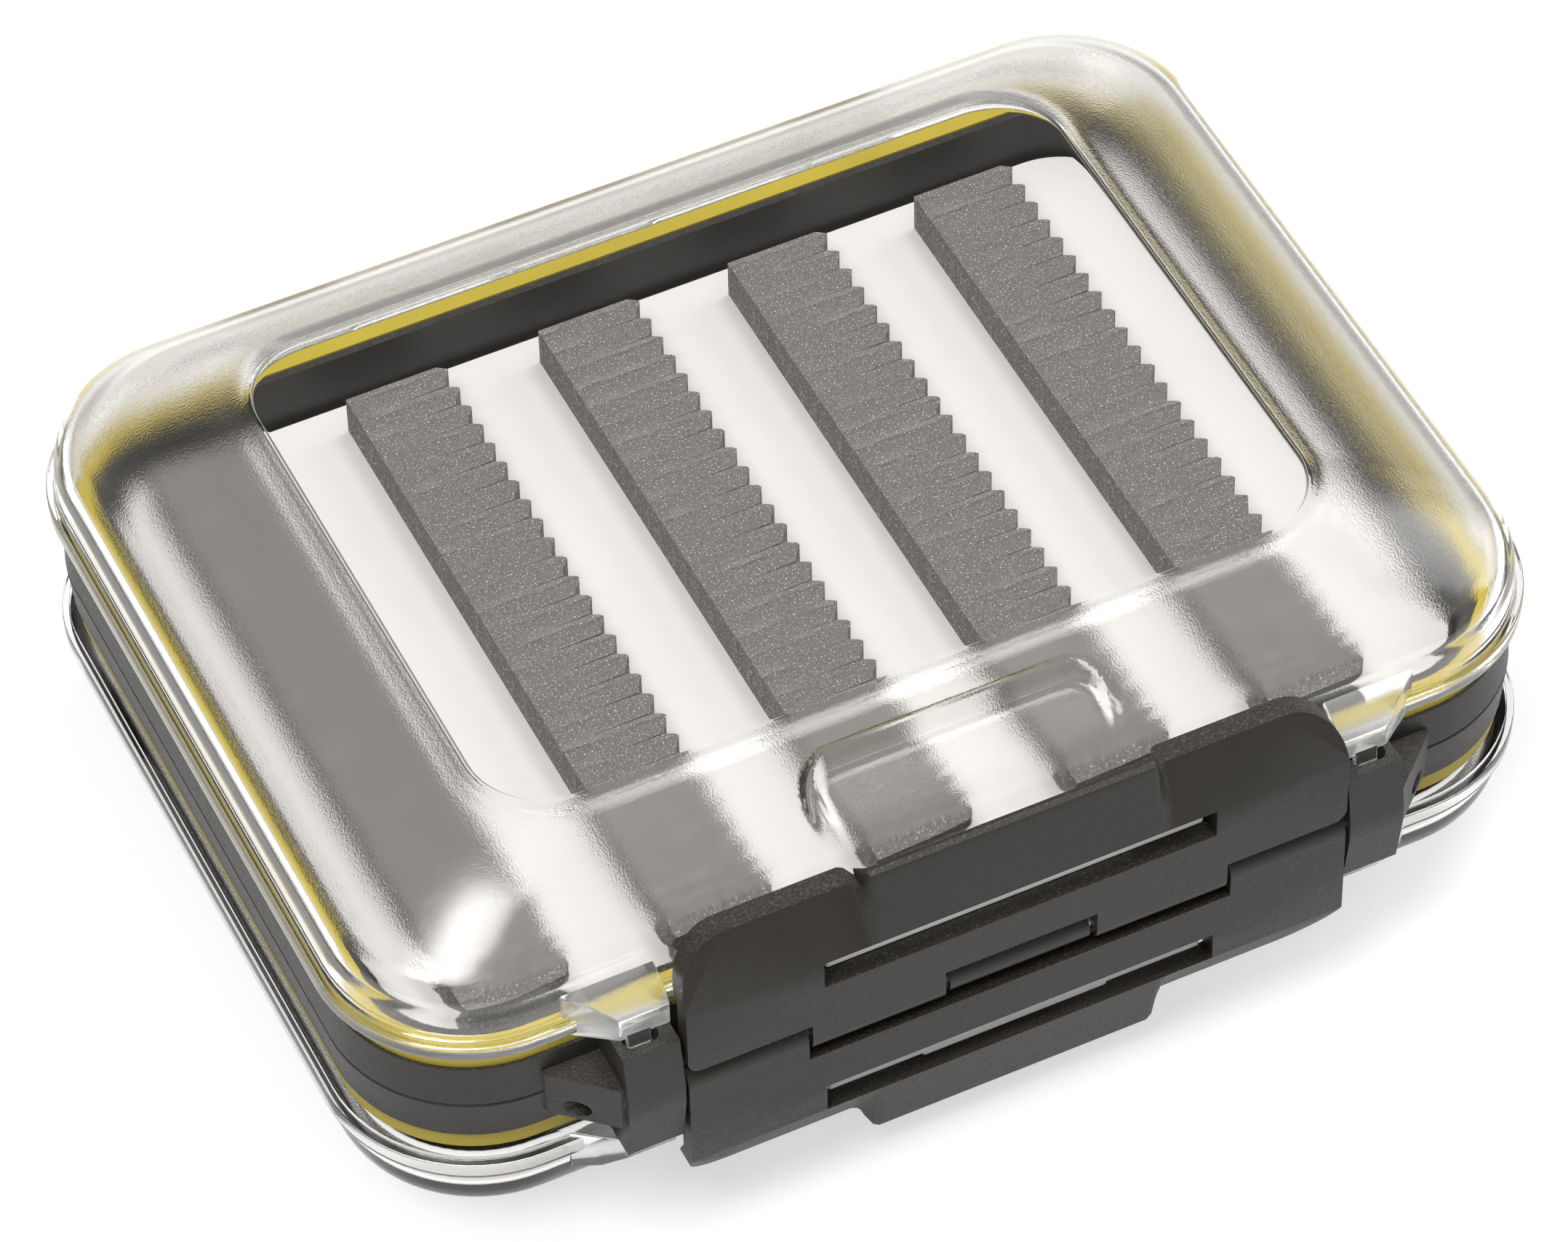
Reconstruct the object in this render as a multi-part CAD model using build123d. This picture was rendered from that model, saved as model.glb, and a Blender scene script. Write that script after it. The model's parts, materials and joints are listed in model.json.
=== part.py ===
from build123d import *
from math import hypot
import os

# Double-sided fly box. Millimetres, +Z up, +X along the long side, latches at -Y,
# hinges at +Y. The box stands on the flat crest of its lower lid, and the origin is
# the middle of its footprint. Every shape is first made around the plane between
# the two frame halves, and lifted by MID_Z when it is saved.

# ---- named fits
RUNNING_FIT = 0.05      # radial play of a turning bore on its pin
PRESS_FIT = 0.02        # radial play of a fixed pin in its seat
LID_GAP = 0.35          # play between a closed lid and what it closes on
SIDE_PLAY = 0.3         # play beside a hinge knuckle, along its pin
LATCH_PLAY = 0.4        # play beside a latch knuckle, along its pin
OVERLAP = 1.0           # how far a joined or cut shape runs past the face it meets
BLOCK_ROOT = 0.5        # the same for an ear block, which stays clear of the gasket

# ---- outline that every ring is an inset of: half length, half depth, corner
HALF_X, HALF_Y, CORNER_R = 64.0, 48.0, 16.0
LATCH_OUT = 5.15        # latch face in front of the outline

# ---- frame halves
FRAME_IN = 1.0          # wall at the parting line
FRAME_DRAFT = 0.4       # how much the wall leans in by the ledge
PARTING_CUT = 0.2       # small bevel along the parting line
LEDGE_Z = 4.9           # ledge that carries the gasket
RIM_IN, RIM_Z = 4.6, 7.0        # standing rim inside the gasket
TRAY_IN, TRAY_DRAFT = 6.2, 0.8  # tray at its floor
FLOOR_Z = 0.6           # half thickness of the dividing floor

# ---- gaskets
GASKET_W = 2.7
GASKET_PLAY = 0.1       # between gasket and rim
GASKET_T = 2.25

# ---- lids
WALL = 2.0
LID_IN = 0.8            # wall behind the flange
FLANGE_UP, FLANGE_T = 0.5, 1.9
SHOULDER = [(0.3, 13.4), (0.8, 14.9), (1.7, 15.9), (3.3, 16.8)]    # extra inset, height
INNER_SHOULDER = [(0.3, 13.2), (2.6, 15.3)]
CREST_Z = 22.9
MID_BULGE = 0.65        # how far the slope bows out halfway up
INNER_CREST = 0.6       # crest's edge inside, this much further in
MOUTH_PLAY = 0.7        # lid lip outside the rim
WINDOW_X, WINDOW_Y, WINDOW_R = 44.1, 32.7, 7.6      # sunken clear pane
WINDOW_BEVEL, WINDOW_SINK = 0.7, 0.25
CREST_LAND = 1.0        # flat ring around the window that the box stands on

# ---- thumb recess in the front slope
RECESS_X, RECESS_CORNER = 15.2, 3.0
RECESS_BACK = 3.1       # from the crest's edge to the top of its back wall
RECESS_Z0, RECESS_Z1 = 15.3, 19.3       # floor at the front and at the back wall
RECESS_RUN = 10.0
RECESS_WALL = 1.6       # plastic left under its floor and around it
RECESS_LEAN = 0.8       # how much the back wall leans back
RECESS_EDGE = 0.5       # from the back wall's foot to the end of the rounded cut

# ---- catch rib on the lid front, and the latch slot around it
RIB_X, RIB_MID_X = 20.1, 10.0
RIB_Z, RIB_T, RIB_MID_T = 8.5, 1.6, 2.0
RIB_RISE = 0.2          # how much thicker the rib is at its root
RIB_SINK = 1.25         # rib's tip behind the latch face
SLOT_SIDE, SLOT_BELOW, SLOT_ABOVE = 0.75, 1.0, 0.5      # room around the rib

# ---- ears on the lid and ear blocks on the frame
BLOCK_W, BLOCK_Z = 5.9, 7.15
BLOCK_BACK = 0.75       # block's top edge behind the latch face
BLOCK_BULGE, BLOCK_FLAT = 0.15, 1.2     # block's middle in front of the latch face
EAR_OUT, EAR_Z = 2.4, 10.4
EAR_IN, EAR_FLARE = 0.7, 4.5    # ear's outer corner inside the block's, and its slant
EAR_CUT, EAR_CUT_Z, EAR_RISE = 1.5, 1.6, 2.8    # bevel of its top edge, and its root
PEG_IN, PEG_W, PEG_T, PEG_H = 3.2, 2.4, 0.9, 1.9      # peg's middle inside the block
PEG_SLOT_X, PEG_SLOT_Y, PEG_SLOT_H, PEG_SLOT_R = 3.6, 2.7, 2.45, 0.9
PEG_SLOT_BACK = 1.0     # slot's front edge behind the block's top edge
WING_W, WING_Z, WING_TAPER = 6.2, 2.8, 0.4
WING_TIP = 0.5          # wing's outer end in front of the frame
CORD_BACK, CORD_Z, CORD_R = 2.4, -1.25, 1.0     # lanyard hole

# ---- hinges
HINGE_BACK, HINGE_Z, HINGE_R = 2.0, 4.4, 2.2        # pin behind the outline
HINGE_PIN_R = 1.0
HINGE_MID, HINGE_IN, HINGE_OUT = 7.7, 26.0, 36.0    # ends of the frame's knuckles
ARM_BACK = 0.2          # lid's arm behind the outline, at the flange
ARM_OUT, ARM_UP = 0.87, 0.5     # where the arm meets its knuckle, in shares of HINGE_R
ARM_FOOT = 0.8          # arm's front edge under the flange, in shares of HINGE_R
POST_UNDER = 0.5        # frame's foot under the ledge

# ---- latches, which share one pin on the middle plane
LATCH_T, LATCH_X = 2.0, 35.2
KNUCKLE_R = 1.95
LATCH_PIN_R, LATCH_PIN_X = 0.9, 39.0
LATCH_EDGE_Z = 2.4      # edge of the plate where it has no knuckle
LATCH_CREASE_Z, LATCH_TOP_Z = 11.0, 17.0
CREASE_BACK = 0.5       # how much lower the crease is on the back
LATCH_LEAN = 3.35       # how far the plate leans back above the crease
LATCH_TOP_R, LATCH_LOW_R = 5.5, 1.5
TONGUE_X = 22.2         # half width of the upper latch's middle tongue
NOTCH_Z = 2.65
TAB_X, TAB_BLEND = 14.6, 2.2    # half width of the finger tab, and its run into the plate
TAB_Z, TAB_LEAN, TAB_T, TAB_R = 19.2, 1.4, 1.6, 1.2
BLEND_STEPS = [0, 0.1, 0.5, 0.9, 1]     # shares of the tab's shape along that run
TIP_SHARE = 0.15        # share of the tab's thickness that its tip's first chamfer takes
LUG_X, LUG_R, LUG_PLAY = 7.5, 1.65, 0.6

# ---- inserts and foam
INSERT_PLAY, INSERT_T = 0.7, 0.9
FOAM_COUNT, FOAM_PITCH, FOAM_LEFT = 5, 21.4, 5.2
FOAM_W, FOAM_H = 11.0, 4.6
FOAM_FRONT, FOAM_BACK = 0.9, 3.4        # from the insert's edge to the foam's ends
TOOTH_COUNT, TOOTH_DEPTH = 27, 0.8
TOOTH_RISE, TOOTH_PEAK = 0.22, 0.48     # shares of a tooth's pitch up to its shoulder and tip

# ---- what follows from them
MID_Z = CREST_Z
GASKET_TOP = LEDGE_Z + GASKET_T
LID_BOTTOM = GASKET_TOP + LID_GAP
LID_MOUTH_Z = LID_BOTTOM + FLANGE_T
WALL_Y = HALF_Y - LID_IN                # front and back of a lid's wall
FRAME_Y = HALF_Y - FRAME_IN
CREST_RING = WINDOW_BEVEL + CREST_LAND  # crest's edge outside the pane
LATCH_FACE_Y = -(HALF_Y + LATCH_OUT)
PIVOT_Y = LATCH_FACE_Y + KNUCKLE_R
HINGE_Y = HALF_Y + HINGE_BACK
BLOCK_X0 = LATCH_X + LATCH_PLAY
BLOCK_X1 = BLOCK_X0 + BLOCK_W
PEG_X = BLOCK_X0 + PEG_IN
RECESS_Y = -(WINDOW_Y + CREST_RING + RECESS_BACK)       # foot of the recess's back wall
INSERT_IN = TRAY_IN + INSERT_PLAY


def ring(inset, z):
    """Rounded rectangle inside the common outline, at height z."""
    outline = RectangleRounded(2 * (HALF_X - inset), 2 * (HALF_Y - inset), CORNER_R - inset)
    return Plane.XY.offset(z) * outline


def pane(out, z):
    """Rounded rectangle outside the window's edge, at height z."""
    outline = RectangleRounded(2 * (WINDOW_X + out), 2 * (WINDOW_Y + out), WINDOW_R + out)
    return Plane.XY.offset(z) * outline


def halfway(inset, z0, out, z1):
    """Rounded rectangle halfway between a ring and a pane, bowed out by MID_BULGE."""
    x = (HALF_X - inset + WINDOW_X + out) / 2
    y = (HALF_Y - inset + WINDOW_Y + out) / 2
    r = (CORNER_R - inset + WINDOW_R + out) / 2
    return Plane.XY.offset((z0 + z1) / 2 + MID_BULGE) * RectangleRounded(2 * x, 2 * y, r)


def slab(inset, z0, z1):
    return extrude(ring(inset, z0), z1 - z0)


def side_prism(points, x0, x1):
    """Outline in the YZ plane, drawn out along X."""
    outline = Plane.YZ * make_face(Polyline(*points, close=True))
    return Pos(x0, 0, 0) * extrude(outline, x1 - x0)


def plan_prism(points, z0, z1):
    """Outline in the XY plane, drawn out along Z."""
    outline = make_face(Polyline(*points, close=True))
    return Pos(0, 0, z0) * extrude(outline, z1 - z0)


def box(x0, x1, y0, y1, z0, z1):
    centre = Pos((x0 + x1) / 2, (y0 + y1) / 2, (z0 + z1) / 2)
    return centre * Box(x1 - x0, y1 - y0, z1 - z0)


def rod(r, x0, x1, y, z):
    """Cylinder along X."""
    return Pos((x0 + x1) / 2, y, z) * Rot(0, 90, 0) * Cylinder(r, x1 - x0)


def both_sides(shape):
    """A shape and its mirror image across the middle of the long side."""
    return [shape, mirror(shape, Plane.YZ)]


def ear_block():
    """Block beside the latches, with the wing that holds the lanyard hole."""
    face, inside = LATCH_FACE_Y, BLOCK_ROOT - FRAME_Y
    outline = [
        (inside, 0), (face - BLOCK_BULGE, 0), (face - BLOCK_BULGE, BLOCK_FLAT),
        (face + BLOCK_BACK, BLOCK_Z), (inside, BLOCK_Z),
    ]
    body = side_prism(outline, BLOCK_X0, BLOCK_X1)
    wing = [
        (BLOCK_X1 - OVERLAP, inside), (BLOCK_X1 + WING_W, inside),
        (BLOCK_X1 + WING_W - WING_TAPER, -FRAME_Y - WING_TIP),
        (BLOCK_X1 + WING_TAPER, face + BLOCK_BACK),
        (BLOCK_X1 - OVERLAP, face + BLOCK_BACK),
    ]
    body += plan_prism(wing, 0, WING_Z)
    slot = extrude(RectangleRounded(PEG_SLOT_X, PEG_SLOT_Y, PEG_SLOT_R), PEG_SLOT_H + OVERLAP)
    slot_y = face + BLOCK_BACK + PEG_SLOT_BACK + PEG_SLOT_Y / 2
    body -= Pos(PEG_X, slot_y, BLOCK_Z - PEG_SLOT_H) * slot
    return body


def frame_half():
    """Frame half above the parting line."""
    body = loft([
        ring(FRAME_IN + PARTING_CUT, 0),
        ring(FRAME_IN, PARTING_CUT),
        ring(FRAME_IN + FRAME_DRAFT, LEDGE_Z),
    ], ruled=True)
    body += slab(RIM_IN, LEDGE_Z - OVERLAP, RIM_Z)
    body -= loft([ring(TRAY_IN, FLOOR_Z), ring(TRAY_IN - TRAY_DRAFT, RIM_Z)], ruled=True)
    for ear in both_sides(ear_block()):
        body += ear
    lug = rod(LUG_R, -LUG_X, LUG_X, PIVOT_Y, 0)
    lug += box(-LUG_X, LUG_X, PIVOT_Y, OVERLAP - FRAME_Y, -LUG_R, LUG_R)
    body += lug & box(-LUG_X, LUG_X, PIVOT_Y - LUG_R, OVERLAP - FRAME_Y, 0, LUG_R)
    seat = LATCH_PIN_X + PRESS_FIT
    body -= rod(LATCH_PIN_R + PRESS_FIT, -seat, seat, PIVOT_Y, 0)
    spans = [(-HINGE_OUT, -HINGE_IN), (-HINGE_MID, HINGE_MID), (HINGE_IN, HINGE_OUT)]
    for x0, x1 in spans:
        post = box(x0, x1, HINGE_Y - HINGE_R, HINGE_Y + HINGE_R, 0, HINGE_Z)
        post += rod(HINGE_R, x0, x1, HINGE_Y, HINGE_Z)
        post += box(x0, x1, FRAME_Y - OVERLAP, HINGE_Y, 0, LEDGE_Z - POST_UNDER)
        post -= rod(HINGE_PIN_R + PRESS_FIT, x0, x1, HINGE_Y, HINGE_Z)
        body += post
    return body


def gasket_ring():
    """Rubber seal that lies on the ledge around the rim."""
    inner = RIM_IN - GASKET_PLAY
    body = slab(inner - GASKET_W, LEDGE_Z, GASKET_TOP)
    body -= slab(inner, LEDGE_Z, GASKET_TOP)
    return body


def catch_rib():
    """Rib that snaps into the slot of a latch, thicker in the middle."""
    tip, wall = LATCH_FACE_Y + RIB_SINK, OVERLAP - WALL_Y
    body = None
    for x, thick in [(RIB_X, RIB_T), (RIB_MID_X, RIB_MID_T)]:
        root = RIB_Z + thick + RIB_RISE
        outline = [(wall, RIB_Z), (tip, RIB_Z), (tip, RIB_Z + thick), (wall, root)]
        rib = side_prism(outline, -x, x)
        body = rib if body is None else body + rib
    return body


def lid_ear():
    """Clear ear over an ear block."""
    wall, front = OVERLAP - WALL_Y, -HALF_Y - EAR_OUT
    corner = BLOCK_X1 - EAR_IN
    plan = [
        (BLOCK_X0, wall), (BLOCK_X0, front), (corner, front),
        (corner + EAR_FLARE, -WALL_Y), (corner + EAR_FLARE, wall),
    ]
    side = [
        (wall, LID_BOTTOM), (front, LID_BOTTOM), (front, EAR_Z),
        (front + EAR_CUT, EAR_Z + EAR_CUT_Z), (wall, EAR_Z + EAR_RISE),
    ]
    return plan_prism(plan, LID_BOTTOM, EAR_Z + EAR_RISE) & side_prism(side, BLOCK_X0, HALF_X)


def lid_knuckle(x0, x1):
    """Lid's half of a hinge, with the arm that hangs from the flange."""
    inner, top = WALL_Y - OVERLAP, LID_MOUTH_Z + FLANGE_UP
    arm = [
        (inner, top), (HALF_Y + ARM_BACK, top),
        (HINGE_Y + ARM_OUT * HINGE_R, HINGE_Z + ARM_UP * HINGE_R), (HINGE_Y, HINGE_Z),
        (HINGE_Y - ARM_FOOT * HINGE_R, HINGE_Z), (HALF_Y - ARM_BACK, LID_BOTTOM + FLANGE_UP),
        (inner, LID_BOTTOM + FLANGE_UP),
    ]
    return side_prism(arm, x0, x1) + rod(HINGE_R, x0, x1, HINGE_Y, HINGE_Z)


def lid_inside():
    """Hollow of a lid, with the pad that backs the thumb recess left out."""
    rows = [ring(LID_IN + WALL, LID_MOUTH_Z)]
    rows += [ring(LID_IN + WALL + inset, z) for inset, z in INNER_SHOULDER]
    inset, z = INNER_SHOULDER[-1]
    top = CREST_RING - INNER_CREST
    rows.append(halfway(LID_IN + WALL + inset, z, top, CREST_Z - WALL))
    rows.append(pane(top, CREST_Z - WALL))
    body = loft(rows, ruled=True)
    drop = RECESS_WALL * hypot(RECESS_RUN, RECESS_Z1 - RECESS_Z0) / RECESS_RUN
    pad = [
        (RECESS_Y - RECESS_RUN, RECESS_Z0 - drop), (RECESS_Y, RECESS_Z1 - drop),
        (RECESS_Y + RECESS_WALL, CREST_Z), (RECESS_Y - RECESS_RUN, CREST_Z),
    ]
    body -= side_prism(pad, -RECESS_X - RECESS_WALL, RECESS_X + RECESS_WALL)
    body += slab(RIM_IN - MOUTH_PLAY, LID_BOTTOM, LID_MOUTH_Z)
    return body


def thumb_recess():
    """What is cut from the front slope."""
    outline = [
        (RECESS_Y - RECESS_RUN, RECESS_Z0), (RECESS_Y, RECESS_Z1),
        (RECESS_Y + RECESS_LEAN, CREST_Z), (RECESS_Y - RECESS_RUN, CREST_Z),
    ]
    body = side_prism(outline, -RECESS_X, RECESS_X)
    long = 2 * RECESS_RUN
    corners = extrude(RectangleRounded(2 * RECESS_X, long, RECESS_CORNER), CREST_Z)
    return body & Pos(0, RECESS_Y + RECESS_EDGE - long / 2, RECESS_Z0 - OVERLAP) * corners


def lid():
    """Clear lid above the middle plane."""
    rows = [ring(LID_IN, LID_BOTTOM)]
    rows += [ring(LID_IN + inset, z) for inset, z in SHOULDER]
    inset, z = SHOULDER[-1]
    rows.append(halfway(LID_IN + inset, z, CREST_RING, CREST_Z))
    rows.append(pane(CREST_RING, CREST_Z))
    body = loft(rows, ruled=True)
    body += slab(0, LID_BOTTOM + FLANGE_UP, LID_BOTTOM + FLANGE_UP + FLANGE_T)
    for ear in both_sides(lid_ear()):
        body += ear
    body += catch_rib()
    spans = [(HINGE_MID, HINGE_IN), (-HINGE_IN, -HINGE_MID)]
    for x0, x1 in spans:
        body += lid_knuckle(x0 + SIDE_PLAY, x1 - SIDE_PLAY)
    body -= lid_inside()
    body -= loft([pane(0, CREST_Z - WINDOW_SINK), pane(WINDOW_BEVEL, CREST_Z)], ruled=True)
    body -= thumb_recess()
    for x0, x1 in spans:
        body -= rod(HINGE_PIN_R + RUNNING_FIT, x0, x1, HINGE_Y, HINGE_Z)
    front = -HALF_Y - EAR_OUT
    peg = box(PEG_X - PEG_W / 2, PEG_X + PEG_W / 2, front, front + PEG_T,
              LID_BOTTOM - PEG_H, LID_BOTTOM + OVERLAP)
    for each in both_sides(peg):
        body += each
    return body


def front_face(half_x, corner, z0, z1):
    """Rounded rectangle seen from the front, drawn back through the whole latch."""
    face = Plane.XZ * Pos(0, (z0 + z1) / 2, 0) * RectangleRounded(2 * half_x, z1 - z0, corner)
    return extrude(face, 2 * HALF_Y)


def front_outline():
    """Latch plate with its finger tab as seen from the front."""
    middle = (LATCH_TOP_Z + LATCH_EDGE_Z) / 2
    plate = front_face(LATCH_X, LATCH_TOP_R, LATCH_EDGE_Z - 2 * LATCH_TOP_R, LATCH_TOP_Z)
    foot = front_face(LATCH_X, LATCH_LOW_R, LATCH_EDGE_Z, middle)
    body = plate & box(-LATCH_X, LATCH_X, -2 * HALF_Y, 0, LATCH_EDGE_Z + LATCH_LOW_R, TAB_Z)
    body += foot
    return body + front_face(TAB_X + TAB_BLEND / 2, TAB_R, LATCH_CREASE_Z, TAB_Z)


def latch_section(x, tab):
    """Outline of a latch across X; tab is 0 on the plate and 1 on the finger tab."""
    face, back = LATCH_FACE_Y, LATCH_FACE_Y + LATCH_T
    rise = LATCH_TOP_Z - LATCH_CREASE_Z
    slant = LATCH_T * hypot(LATCH_LEAN, rise) / rise
    thick = slant + tab * (TAB_T - slant)
    tip_y = face + LATCH_LEAN + tab * (TAB_LEAN - LATCH_LEAN)
    tip_z = LATCH_TOP_Z + tab * (TAB_Z - LATCH_TOP_Z)
    round_z = tip_z - tab * TAB_T / 2
    points = [
        (face, LATCH_EDGE_Z), (face, LATCH_CREASE_Z), (tip_y, round_z),
        (tip_y + TIP_SHARE * thick, tip_z - TIP_SHARE * tab * TAB_T),
        (tip_y + thick / 2, tip_z),
        (tip_y + (1 - TIP_SHARE) * thick, tip_z - TIP_SHARE * tab * TAB_T),
        (tip_y + thick, round_z), (back, LATCH_CREASE_Z - CREASE_BACK), (back, LATCH_EDGE_Z),
    ]
    return Plane.YZ.offset(x) * make_face(Polyline(*points, close=True))


def latch(knuckles):
    """Latch plate above the middle plane, with knuckles on the shared pin."""
    face, back = LATCH_FACE_Y, LATCH_FACE_Y + LATCH_T
    left = [(-LATCH_X, 0)]
    for i, tab in enumerate(BLEND_STEPS):
        left.append((TAB_BLEND * i / (len(BLEND_STEPS) - 1) - TAB_X - TAB_BLEND, tab))
    right = [(-x, tab) for x, tab in reversed(left)]
    body = loft([latch_section(x, tab) for x, tab in left + right], ruled=True)
    body = body & front_outline()
    for x0, x1 in knuckles:
        body += rod(KNUCKLE_R, x0, x1, PIVOT_Y, 0)
        body += box(x0, x1, face, back, 0, LATCH_EDGE_Z + OVERLAP)
    slot_x = RIB_X + SLOT_SIDE
    slot_z0, slot_z1 = RIB_Z - SLOT_BELOW, RIB_Z + RIB_MID_T + SLOT_ABOVE
    body -= box(-slot_x, slot_x, face - OVERLAP, back + OVERLAP, slot_z0, slot_z1)
    body -= rod(LATCH_PIN_R + RUNNING_FIT, -LATCH_X, LATCH_X, PIVOT_Y, 0)
    return body


def upper_latch():
    """Latch with a middle tongue, notched around the frame's lug."""
    notch_x = LUG_X + LUG_PLAY
    body = latch([(-TONGUE_X, -notch_x), (notch_x, TONGUE_X)])
    front, back = LATCH_FACE_Y - OVERLAP, PIVOT_Y + KNUCKLE_R + OVERLAP
    return body - box(-notch_x, notch_x, front, back, -KNUCKLE_R, NOTCH_Z)


def lower_latch():
    """Latch with a knuckle at each end."""
    inner = TONGUE_X + LATCH_PLAY
    return latch([(-LATCH_X, -inner), (inner, LATCH_X)])


def insert():
    """Card that the foam is glued to."""
    return slab(INSERT_IN, FLOOR_Z, FLOOR_Z + INSERT_T)


def foam_strip(index):
    """Slit foam strip on the insert, with a toothed right edge."""
    left = INSERT_IN - HALF_X + FOAM_LEFT + index * FOAM_PITCH
    right = left + FOAM_W
    front = INSERT_IN + FOAM_FRONT - HALF_Y
    back = HALF_Y - INSERT_IN - FOAM_BACK
    step = (back - front) / TOOTH_COUNT
    points = [(left, front), (left, back), (right - TOOTH_DEPTH, back)]
    for i in range(TOOTH_COUNT):
        y = back - i * step
        points.append((right - TOOTH_DEPTH / 4, y - TOOTH_RISE * step))
        points.append((right, y - TOOTH_PEAK * step))
        points.append((right - TOOTH_DEPTH, y - step))
    base = FLOOR_Z + INSERT_T
    return plan_prism(points, base, base + FOAM_H)


def save(name, shape):
    """Write one piece, lifted so that the box stands on the lower crest."""
    export_step(Pos(0, 0, MID_Z) * shape, os.path.join("parts", name + ".step"))


def save_pair(name, shape, under):
    save("upper_" + name, shape)
    save("lower_" + name, under)


os.makedirs("parts", exist_ok=True)
turned = Rot(0, 180, 0)

half = frame_half()
under_half = mirror(half, Plane.XY)
for x0, x1 in [(BLOCK_X0, HALF_X), (-HALF_X, -BLOCK_X0)]:
    under_half -= rod(CORD_R, x0, x1, -FRAME_Y - CORD_BACK, CORD_Z)
save_pair("frame", half, under_half)

seal = gasket_ring()
save_pair("gasket", seal, mirror(seal, Plane.XY))
clear = lid()
save_pair("lid", clear, mirror(clear, Plane.XY))
save_pair("latch", upper_latch(), mirror(lower_latch(), Plane.XY))
save("latch_pin", rod(LATCH_PIN_R, -LATCH_PIN_X, LATCH_PIN_X, PIVOT_Y, 0))
pin = rod(HINGE_PIN_R, -HINGE_OUT, HINGE_OUT, HINGE_Y, HINGE_Z)
save_pair("hinge_pin", pin, mirror(pin, Plane.XY))
card = insert()
save_pair("insert", card, turned * card)
for i in range(FOAM_COUNT):
    strip = foam_strip(i)
    save_pair(f"foam_{i + 1}", strip, turned * strip)
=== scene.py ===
import json
import math
import random

import bmesh
import bpy
from mathutils import Matrix, Vector


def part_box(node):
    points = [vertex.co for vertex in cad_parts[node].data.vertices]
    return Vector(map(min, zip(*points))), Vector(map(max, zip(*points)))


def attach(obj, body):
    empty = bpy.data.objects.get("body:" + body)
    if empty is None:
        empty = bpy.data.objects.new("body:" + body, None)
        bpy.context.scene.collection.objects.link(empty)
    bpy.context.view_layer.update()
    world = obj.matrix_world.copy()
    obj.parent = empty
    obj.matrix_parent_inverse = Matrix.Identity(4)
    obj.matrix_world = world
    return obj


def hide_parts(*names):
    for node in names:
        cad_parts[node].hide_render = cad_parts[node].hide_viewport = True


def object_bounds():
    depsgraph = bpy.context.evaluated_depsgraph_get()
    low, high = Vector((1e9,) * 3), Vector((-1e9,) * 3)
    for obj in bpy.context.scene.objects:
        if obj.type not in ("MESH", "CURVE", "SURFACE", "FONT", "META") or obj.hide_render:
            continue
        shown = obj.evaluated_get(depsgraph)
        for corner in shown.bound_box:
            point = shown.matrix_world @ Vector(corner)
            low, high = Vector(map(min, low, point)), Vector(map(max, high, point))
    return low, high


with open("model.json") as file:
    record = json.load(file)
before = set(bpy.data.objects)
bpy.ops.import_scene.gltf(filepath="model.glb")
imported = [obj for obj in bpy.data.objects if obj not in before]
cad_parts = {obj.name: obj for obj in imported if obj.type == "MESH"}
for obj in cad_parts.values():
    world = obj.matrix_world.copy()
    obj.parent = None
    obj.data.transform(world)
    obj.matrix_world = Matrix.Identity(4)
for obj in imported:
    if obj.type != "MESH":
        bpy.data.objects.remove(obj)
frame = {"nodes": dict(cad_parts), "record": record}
cad_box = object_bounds()

# Lengths are millimetres unless a line says otherwise, with heights counted from the plane
# between the two frame halves. MM turns them into the frame's metres, and MID_Z lifts them.
MM = 0.001
MID_Z = cad_box[1].z / MM / 2
SIDES = ("upper", "lower")

# ---- outline of the box and of the window in its lid
HALF_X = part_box("upper_lid")[1].x / MM
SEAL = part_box("upper_gasket")[1]        # inset evenly, so its x - y is the outline's too
HALF_Y = HALF_X - (SEAL.x - SEAL.y) / MM
CORNER_R = 16.0
WINDOW_X, WINDOW_Y, WINDOW_R = 44.1, 32.7, 7.6

# ---- foam strips
FOAM_COUNT, FOAM_TEETH, FOAM_SEED = 5, 27, 11
FOAM_FRONT, FOAM_BACK = (corner.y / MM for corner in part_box("upper_foam_1"))
FOAM_PITCH = (FOAM_BACK - FOAM_FRONT) / FOAM_TEETH      # one tooth
TOOTH_DEPTH, SLIT_DEPTHS, SLIT_GAPS = 1.25, (6.0, 8.2), (0.05, 0.08, 0.16)
VALLEYS = (0.85, 1.1)           # shares of the tooth's depth
RISES, SHOULDERS, TIPS = (0.2, 0.3), (0.5, 0.58), (0.68, 0.74)      # shares of the pitch
BAND_SWAY = 0.35                # share of the pitch that the painted light bands and painted shade lines wander

# ---- profile of a lid
LID_IN, OVERLAP = 0.8, 1.0      # wall behind the flange's edge, and how far pieces sink in
WALL_Y = HALF_Y - LID_IN
LID_BOTTOM, LID_TOP = 7.5, 22.9
FLANGE_LOW, FLANGE_HIGH = 8.0, 9.9
SLOPE_IN, CREST_IN, CREST_RING = 4.1, 13.6, 1.7     # slope's ends, crest around the window
PANE_IN, PANE_TOP, PANE_UNDER = 15.4, 22.65, 20.9

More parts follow.
